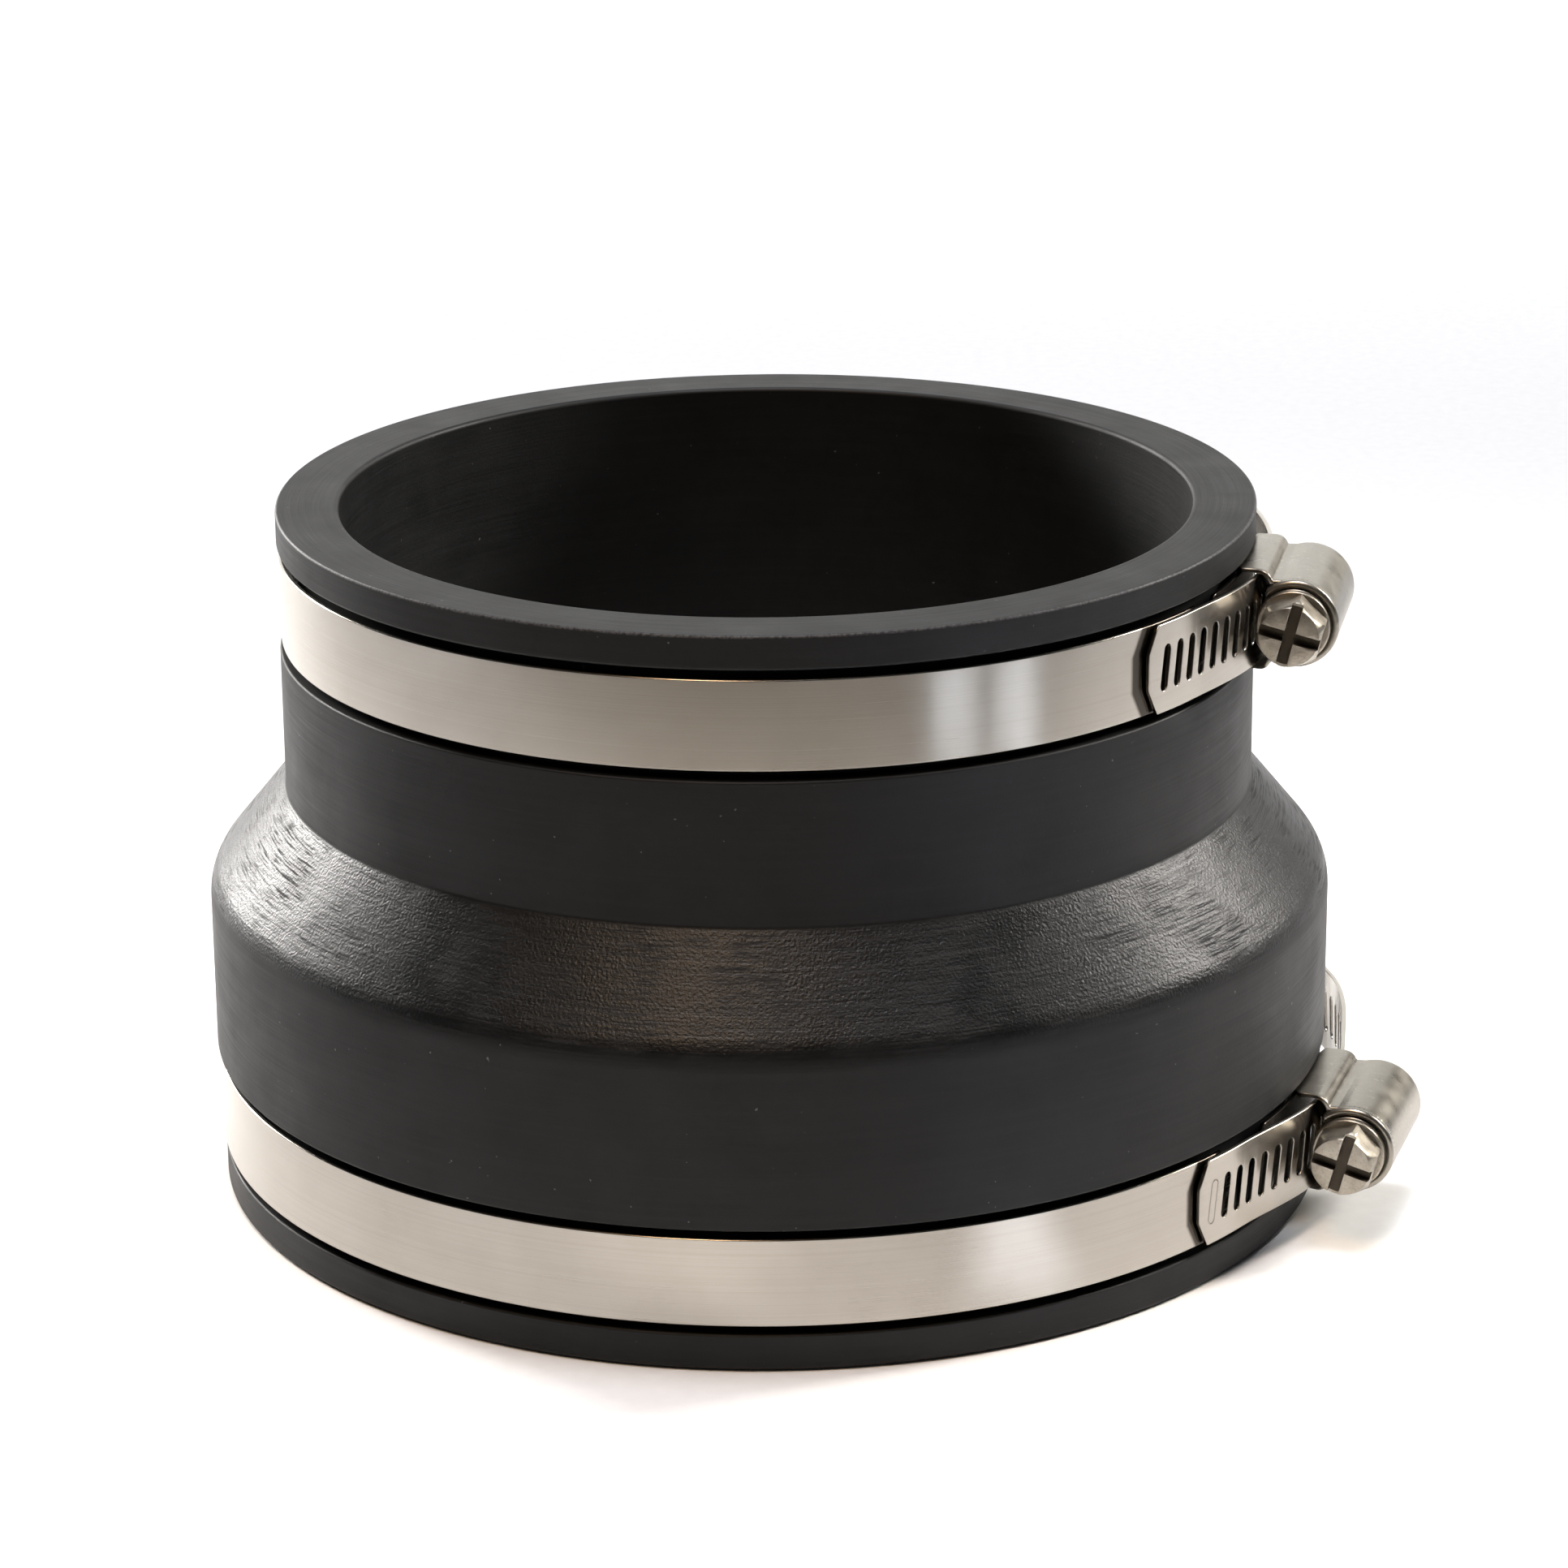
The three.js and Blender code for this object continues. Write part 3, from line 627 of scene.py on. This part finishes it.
def housing_outline(lip_under):
    """Half of the section, from the dome's top to the inner end of a lip, as (out, across)."""
    side = HOUSING_SIDE
    turns = [DOME_ARC * k / 16 for k in range(17)]
    dome = [Vector((DOME * math.cos(turn), DOME * math.sin(turn))) for turn in turns]
    points = dome + curve(dome[-1], (dome[-1] + WAIST) / 2, WAIST, 5)
    points += curve(WAIST, (-3.8, side), (-5.3, side), 8)
    points += [Vector((-6.2, side)), Vector((-7.1, side))]
    points += curve((-7.1, side), (lip_under, side), (lip_under, side - 1.7), 6)
    points += [Vector((lip_under, LIP_REACH))]
    return points


def axis_radius(clamp):
    """How far the screw's axis stands from the pipe's: the worm bites a little into the strip."""
    return clamp["strip"] + WORM["crest"] - WORM["bite"]


def stand_on_screw(bm, clamp):
    """Moves a mesh from the screw's place (out, towards the tail, across) to the pipe's."""
    place = (
        Matrix.Translation((0, 0, clamp["height"]))
        @ Matrix.Rotation(clamp["angle"], 4, "Z")
        @ Matrix.Translation((axis_radius(clamp), 0, 0))
    )
    bmesh.ops.transform(bm, matrix=place, verts=bm.verts)


def housing_shell(bm, lip_under):
    """The bent sheet: the section drawn along the screw, shorter at its sides and shortest at its lips."""
    half = housing_outline(lip_under)
    outline = [Vector((p.x, -p.y)) for p in reversed(half)] + half[1:]

    def place(i, k):
        out, across = outline[i]
        front, rear = -SHELL_FRONT + WRAP_SETBACK * smooth(-out, *SIDE_WRAP), SHELL_REAR
        if out < lip_under + LIP_DEPTH:
            front, rear = -LIP_HALF_LENGTH, LIP_HALF_LENGTH
        return out, front + (rear - front) * k / SHELL_STEPS, across

    placed_grid(bm, len(outline) - 1, SHELL_STEPS, place)
    bmesh.ops.recalc_face_normals(bm, faces=bm.faces)
    top = Vector((DOME, 0, 0))
    top_face = min(bm.faces, key=lambda face: (face.calc_center_median() - top).length)
    if top_face.normal.x < 0:
        bmesh.ops.reverse_faces(bm, faces=bm.faces)
    bmesh.ops.solidify(bm, geom=bm.faces[:], thickness=SHEET)
    bmesh.ops.recalc_face_normals(bm, faces=bm.faces)
    rims = [e for e in bm.edges if len(e.link_faces) == 2 and e.calc_face_angle() > 1.1]
    bmesh.ops.bevel(
        bm,
        geom=rims,
        offset=SHELL_ROUNDING,
        offset_type="OFFSET",
        segments=2,
        profile=0.5,
        affect="EDGES",
        material=-1,
    )


# corners as (radius, along the screw, fillet): two ridges in front, and a flat collar behind
front_ring = rounded(
    [
        (5.7, -8.4, 0),
        (6.3, -8.4, 0),
        (6.3, -9.8, 0.52),
        (5.22, -9.8, 0.52),
        (5.22, -9.2, 0.05),
        (5.12, -9.2, 0.05),
        (5.12, -9.98, 0.25),
        (4.55, -9.98, 0.32),
        (4.4, -9.5, 0.15),
        (3.2, -9.5, 0.15),
        (3.2, -8.5, 0.1),
    ],
    5,
)
rear_ring = rounded(
    [
        (5.8, 10.2, 0),
        (6.3, 10.2, 0),
        (6.0, REAR, 0.5),
        (2.4, REAR, 0.2),
        (2.4, 10.3, 0.1),
    ],
    4,
)
for side, clamp in CLAMPS.items():
    bm = bmesh.new()
    lip_top = clamp["band"] - SHEET - LIP_GAP - axis_radius(clamp)
    housing_shell(bm, lip_top - SHEET)
    shell_verts = set(bm.verts)
    spun(bm, front_ring, (0, 1, 0), 64)
    spun(bm, rear_ring, (0, 1, 0), 64)
    bmesh.ops.remove_doubles(bm, verts=[v for v in bm.verts if v not in shell_verts], dist=1e-4)
    # the rings stop above the strip, and their cut ends are closed
    rings = [f for f in bm.faces if not any(v in shell_verts for v in f.verts)]
    ring_verts = list({v for f in rings for v in f.verts})
    ring_edges = list({e for f in rings for e in f.edges})
    cut = bmesh.ops.bisect_plane(
        bm,
        geom=ring_verts + ring_edges + rings,
        dist=1e-5,
        plane_co=(RING_FLOOR, 0, 0),
        plane_no=(-1, 0, 0),
        clear_outer=True,
    )
    cut_edges = [e for e in cut["geom_cut"] if isinstance(e, bmesh.types.BMEdge)]
    bmesh.ops.holes_fill(bm, edges=cut_edges)
    stand_on_screw(bm, clamp)
    piece = finished(side + "_bridge", bm, pressed)
    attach(piece, side + "_clamp")
    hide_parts(side + "_housing")

# ---------------------------------------------------------------- worm screws
# Cold-headed steel: a chamfered hexagon with crossed slots, a flange against the housing, a
# right-handed worm and a pilot at the far end.

HEX = {"flats": 8.7, "height": 4.9, "face": 4.2, "chamfer": 2.5, "slot": 1.6, "depth": 1.3}
CROSS_ARMS = (14.0, 15.57)
FLANGE = {"radius": 5.2, "thick": 1.0}
NECK = 2.9
PILOT = 2.1
# the spun outlines stop this far from the axis, too near it to show
AXIS_HOLE = 0.01
# the head, the flange, the worm and the pilot sink into each other by this
OVERLAP = 0.2
# the painted shade in the slots starts a little below the face and the chamfer, so that those stay unshaded
SLOT_SHADE = {"radius": 4.33, "chamfer_from": 4.15, "chamfer": 2.9}
THREAD = {"top": 0.3, "foot": 0.95, "around": 48, "per_pitch": 14}
FLANGE_BACK = -FRONT - GAP
FLANGE_FRONT = FLANGE_BACK - FLANGE["thick"]
HEAD_FACE = FLANGE_FRONT - HEX["height"]


def painted_slot_shade(tree, spot):
    """1 in the floor and sides of the crossed slots, which are painted dark as shade, 0 on the rest of the
    screw.
    """
    low, up = CLAMPS["lower"], CLAMPS["upper"]
    x, y, z = add(tree, "SeparateXYZ", [spot]).outputs
    upper = add(tree, "Math", [z, BETWEEN_CLAMPS], operation="GREATER_THAN")
    cos = add(tree, "MapRange", [upper, 0, 1, math.cos(low["angle"]), math.cos(up["angle"])])
    sin = add(tree, "MapRange", [upper, 0, 1, math.sin(low["angle"]), math.sin(up["angle"])])
    axis = add(tree, "MapRange", [upper, 0, 1, axis_radius(low), axis_radius(up)])
    middle = add(tree, "MapRange", [upper, 0, 1, low["height"], up["height"]])
    x_cos = add(tree, "Math", [x, cos], operation="MULTIPLY")
    y_sin = add(tree, "Math", [y, sin], operation="MULTIPLY")
    out = add(tree, "Math", [x_cos, y_sin], operation="ADD")
    out = add(tree, "Math", [out, axis], operation="SUBTRACT")
    y_cos = add(tree, "Math", [y, cos], operation="MULTIPLY")
    x_sin = add(tree, "Math", [x, sin], operation="MULTIPLY")
    along = add(tree, "Math", [y_cos, x_sin], operation="SUBTRACT")
    height = add(tree, "Math", [z, middle], operation="SUBTRACT")
    off_axis = add(tree, "CombineXYZ", [out, height])
    off_axis = add(tree, "VectorMath", [off_axis], operation="LENGTH").outputs[1]
    inside = add(tree, "Math", [off_axis, SLOT_SHADE["radius"]], operation="LESS_THAN")
    chamfer = add(tree, "Math", [off_axis, SLOT_SHADE["chamfer_from"]], operation="SUBTRACT")
    chamfer = add(tree, "Math", [chamfer, 0.0], operation="MAXIMUM")
    chamfer = add(tree, "Math", [chamfer, SLOT_SHADE["chamfer"]], operation="MULTIPLY")
    below = add(tree, "Math", [along, -HEAD_FACE], operation="ADD")
    below = add(tree, "Math", [below, chamfer], operation="SUBTRACT")
    below = add(tree, "MapRange", [below, 0.2, 0.6, 0, 1])
    return add(tree, "Math", [below, inside], operation="MULTIPLY")


def screw_material():
    """Plated steel headed in a die: duller and rougher than the strip, pitted, with painted shade in the
    slots and rougher there.
    """
    made, tree, spot = material("cold-headed screw steel")
    # stains are about 2 mm across, and the pits of the heading die 0.35 mm
    broad = {"Vector": spot, "Scale": 1 / 2.2, "Detail": 4, "Roughness": 0.6}
    broad = add(tree, "TexNoise", broad)
    pits = {"Vector": spot, "Scale": 1 / 0.35, "Detail": 3, "Roughness": 0.6}
    pits = add(tree, "TexNoise", pits)
    share = add(tree, "MapRange", [broad, 0.3, 0.7, 0, 1])
    colours = {0: share, 6: linear("#8e877b"), 7: linear("#aca598")}
    base = add(tree, "Mix", colours, data_type="RGBA").outputs[2]
    share = add(tree, "MapRange", [pits, 0.55, 0.75, 0, 0.6])
    base = add(tree, "Mix", {0: share, 6: base, 7: linear("#6f685d")}, data_type="RGBA").outputs[2]
    # painted shade: the floor and sides of the crossed slots are darkened where shade falls in them
    slot_shade = painted_slot_shade(tree, spot)
    base = add(tree, "Mix", {0: slot_shade, 6: base, 7: linear("#443e36")}, data_type="RGBA").outputs[2]
    rough = add(tree, "MapRange", [broad, 0.3, 0.7, 0.3, 0.4])
    pitted = add(tree, "MapRange", [pits, 0.3, 0.7, -0.04, 0.08])
    rough = add(tree, "Math", [rough, pitted], operation="ADD")
    slot_roughness = add(tree, "Math", [slot_shade, 0.08], operation="MULTIPLY")
    rough = add(tree, "Math", [rough, slot_roughness], operation="ADD")
    headed = add(tree, "Bump", {"Strength": 0.3, "Distance": 0.0001, "Height": pits})
    finish = {"Base Color": base, "Metallic": 1, "Roughness": rough, "Normal": headed}
    add(tree, "OutputMaterial", [add(tree, "BsdfPrincipled", finish)])
    return made


screw_steel = screw_material()


def hex_reach(angle):
    """How far a hexagon's side is from its centre in a direction."""
    return (HEX["flats"] / 2) / math.cos(angle % (math.pi / 3) - math.pi / 6)


def tube(bm, lines, around, place):
    """A closed grid round the screw's axis with flat ends; place(i, turn) gives (radius, along)."""

    def on_screw(i, k):
        turn = 2 * math.pi * k / around
        radius, along = place(i, turn)
        return radius * math.sin(turn), along, radius * math.cos(turn)

    corners = placed_grid(bm, lines, around, on_screw)
    bmesh.ops.remove_doubles(bm, verts=corners, dist=1e-4)
    bmesh.ops.holes_fill(bm, edges=[e for e in bm.edges if e.is_boundary])


def head_place(i, turn):
    """The hexagon's lines, from its round face down the chamfer to its foot in the flange."""
    reach = hex_reach(turn)
    foot = FLANGE_FRONT + OVERLAP
    return [
        (HEX["face"] * 0.55, HEAD_FACE),
        (HEX["face"], HEAD_FACE),
        (reach, HEAD_FACE + (reach - HEX["face"]) * HEX["chamfer"]),
        (reach, (HEAD_FACE + foot) / 2 + 1.0),
        (reach, foot),
    ][i]


def worm_place(i, turn):
    """The worm's lines: the radius rises from root to crest where the right-handed thread passes."""
    along = WORM["half"] * (2 * i / worm_lines - 1)
    turns = along / PITCH - (turn + math.pi / 2) / (2 * math.pi)
    off_thread = abs(turns - round(turns)) * PITCH
    thread = 1 - smooth(off_thread, THREAD["top"], THREAD["foot"])
    return WORM["root"] + (WORM["crest"] - WORM["root"]) * thread, along


def scratch_object(name, bm):
    """Gives a mesh an object of its own, for the cut that makes the crossed slots."""
    bmesh.ops.recalc_face_normals(bm, faces=bm.faces)
    mesh = bpy.data.meshes.new(name)
    bm.to_mesh(mesh)
    bm.free()
    made = bpy.data.objects.new(name, mesh)
    bpy.context.scene.collection.objects.link(made)
    return made


flange = rounded(
    [
        (AXIS_HOLE, FLANGE_FRONT, 0),
        (FLANGE["radius"], FLANGE_FRONT, 0.3),
        (FLANGE["radius"], FLANGE_BACK, 0.3),
        (NECK, FLANGE_BACK, 0),
        (NECK, -WORM["half"] + OVERLAP, 0),
        (AXIS_HOLE, -WORM["half"] + OVERLAP, 0),
    ],
    4,
)
pilot = rounded(
    [
        (AXIS_HOLE, WORM["half"] - OVERLAP, 0),
        (PILOT, WORM["half"] - OVERLAP, 0),
        (PILOT, REAR, 0.4),
        (AXIS_HOLE, REAR, 0),
    ],
    4,
)
worm_lines = round(2 * WORM["half"] / PITCH * THREAD["per_pitch"])
for side, clamp in CLAMPS.items():
    bm = bmesh.new()
    tube(bm, 4, 96, head_place)
    bmesh.ops.rotate(
        bm,
        cent=(0, 0, 0),
        matrix=Matrix.Rotation(clamp["head_turn"], 3, "Y"),
        verts=bm.verts,
    )
    head = scratch_object("head", bm)
    bm = bmesh.new()
    for turn, length in zip((0, math.pi / 2), CROSS_ARMS):
        arm = bmesh.ops.create_cube(bm, size=1)["verts"]
        bmesh.ops.scale(bm, vec=(HEX["slot"], 2 * HEX["depth"], length), verts=arm)
        bmesh.ops.rotate(
            bm,
            cent=(0, 0, 0),
            matrix=Matrix.Rotation(clamp["head_turn"] + turn, 3, "Y"),
            verts=arm,
        )
        bmesh.ops.translate(bm, vec=(0, HEAD_FACE, 0), verts=arm)
    cross = scratch_object("cross", bm)
    cut = head.modifiers.new("cross_slots", "BOOLEAN")
    cut.object = cross
    cut.operation = "DIFFERENCE"
    cut.solver = "EXACT"
    cut.use_self = True
    bpy.context.view_layer.update()
    evaluated = head.evaluated_get(bpy.context.evaluated_depsgraph_get())
    bm = bmesh.new()
    bm.from_mesh(bpy.data.meshes.new_from_object(evaluated))
    bpy.data.objects.remove(head)
    bpy.data.objects.remove(cross)
    bmesh.ops.remove_doubles(bm, verts=bm.verts, dist=1e-4)
    bmesh.ops.dissolve_degenerate(bm, edges=bm.edges, dist=1e-4)
    spun(bm, flange, (0, 1, 0), 64)
    spun(bm, pilot, (0, 1, 0), 48)
    tube(bm, worm_lines, THREAD["around"], worm_place)
    stand_on_screw(bm, clamp)
    piece = finished(side + "_screw_body", bm, screw_steel)
    soften = piece.modifiers.new("soft_edges", "BEVEL")
    soften.width = 0.12 * MM
    soften.segments = 2
    soften.limit_method = "ANGLE"
    soften.angle_limit = math.radians(35)
    piece.modifiers.move(len(piece.modifiers) - 1, 0)
    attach(piece, side + "_screw")
    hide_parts(side + "_worm_screw")

# ---------------------------------------------------------------- floor, light and camera
# A white paper sweep under soft lamps: wide ones for the floor and the backdrop, two windows
# behind, a warm lamp in front, and three low bars that the hoops mirror. Sizes here are in metres.

SWEEP = {"half_width": 3.0, "front": -2.2, "bend": 1.4, "radius": 0.8, "rear": 2.2, "top": 2.6}
LAMP_AIM = Vector((0, 0, 0.05))


def floor_material():
    """Matt white paper: almost even, with faint clouds from its fibres."""
    made, tree, spot = material("matt white paper")
    fibre = add(tree, "TexNoise", {"Vector": spot, "Scale": 1 / 2.5, "Detail": 3})
    share = add(tree, "MapRange", [fibre, 0.3, 0.7, 0, 1])
    colours = {0: share, 6: linear("#f4f4f3"), 7: linear("#f8f8f7")}
    base = add(tree, "Mix", colours, data_type="RGBA").outputs[2]
    add(tree, "OutputMaterial", [add(tree, "BsdfPrincipled", {"Base Color": base, "Roughness": 0.8})])
    return made


path = [(SWEEP["front"], 0.0), (SWEEP["bend"], 0.0)]
for k in range(1, 16):
    angle = math.radians(6 * k)
    y = SWEEP["bend"] + SWEEP["radius"] * math.sin(angle)
    path.append((y, SWEEP["radius"] * (1 - math.cos(angle))))
path.append((SWEEP["rear"], SWEEP["top"]))
bm = bmesh.new()
placed_grid(bm, 1, len(path) - 1, lambda i, k: (SWEEP["half_width"] * (2 * i - 1), *path[k]))
mesh = bpy.data.meshes.new("paper_sweep")
bm.to_mesh(mesh)
bm.free()
mesh.materials.append(floor_material())
for face in mesh.polygons:
    face.use_smooth = True
sweep = bpy.data.objects.new("paper_sweep", mesh)
sweep.location.z = -0.0002
bpy.context.scene.collection.objects.link(sweep)


def softbox(name, radiance, size, direction, distance, colour="#ffffff", spread=180):
    """A flat lamp facing the coupling from a direction, as bright as a lit surface of that radiance."""
    lamp = bpy.data.lights.new(name, "AREA")
    lamp.energy = radiance * math.pi * size[0] * size[1]
    lamp.shape = "RECTANGLE"
    lamp.size, lamp.size_y = size
    lamp.color = linear(colour)[:3]
    lamp.spread = math.radians(spread)
    made = bpy.data.objects.new(name, lamp)
    way = Vector(direction).normalized()
    made.location = LAMP_AIM + way * distance
    made.rotation_euler = (-way).to_track_quat("-Z", "Y").to_euler()
    made.visible_camera = False
    bpy.context.scene.collection.objects.link(made)
    return made


canopy = softbox("canopy", 0.77, (1.6, 1.7), (0, 0, 1), 0.55, "#f1f5ff", 32)
canopy.location.y = 0.63
softbox("rear panel", 1.0, (1.6, 0.7), (0, 0.93, 0.36), 1.5)
softbox("left rear window", 2.75, (0.3, 0.42), (-0.70, 0.66, 0.34), 1.0, "#fdfaf6", 40)
softbox("right rear window", 2.25, (0.24, 0.38), (0.80, 0.30, 0.52), 1.0, "#fffaf4", 34)
softbox("front lamp", 2.2, (0.22, 0.3), (-0.20, -0.46, 0.86), 1.1, "#ffd8ae", 60)
backdrop = softbox("backdrop lamp", 1.5, (2.4, 1.0), (0, 0, 1), 1.0, "#fffaf2", 120)
backdrop.location.y = 1.75
for name, radiance, width, length, x, y, turn in (
    ("near bar", 1.3, 0.022, 0.08, 0.076, -0.112, 46),
    ("far bar", 13.0, 0.048, 0.12, 0.214, -0.262, 44),
    ("second far bar", 12.0, 0.048, 0.12, 0.267, -0.202, 59),
):
    bar = softbox(name, radiance, (width, length), (0, 0, 1), 0.03, "#e2ecff", 12)
    bar.location.x, bar.location.y = x, y
    bar.rotation_euler = (0, 0, math.radians(turn))

world = bpy.data.worlds.new("studio")
bpy.context.scene.world = world
world.use_nodes = True
world.node_tree.nodes["Background"].inputs[0].default_value = linear("#e8ebef")
world.node_tree.nodes["Background"].inputs[1].default_value = 0.06

camera_data = bpy.data.cameras.new("camera")
camera_data.sensor_width = 36
camera_data.lens = 118.9
camera = bpy.data.objects.new("camera", camera_data)
camera_place = Matrix.Translation((0, -0.7196, 0.2990))
pitch, yaw, roll = (math.radians(a) for a in (18.63, 0.18, -0.52))
level = math.cos(pitch)
ahead = Vector((math.sin(yaw) * level, math.cos(yaw) * level, -math.sin(pitch)))
right = Vector((math.cos(yaw), -math.sin(yaw), 0))
above = right.cross(ahead)
turned_right = right * math.cos(roll) + above * math.sin(roll)
turned_above = above * math.cos(roll) - right * math.sin(roll)
facing = Matrix((turned_right, turned_above, -ahead)).transposed().to_4x4()
camera.matrix_world = camera_place @ facing
bpy.context.scene.collection.objects.link(camera)
bpy.context.scene.camera = camera
bpy.context.scene.view_settings.view_transform = "Standard"
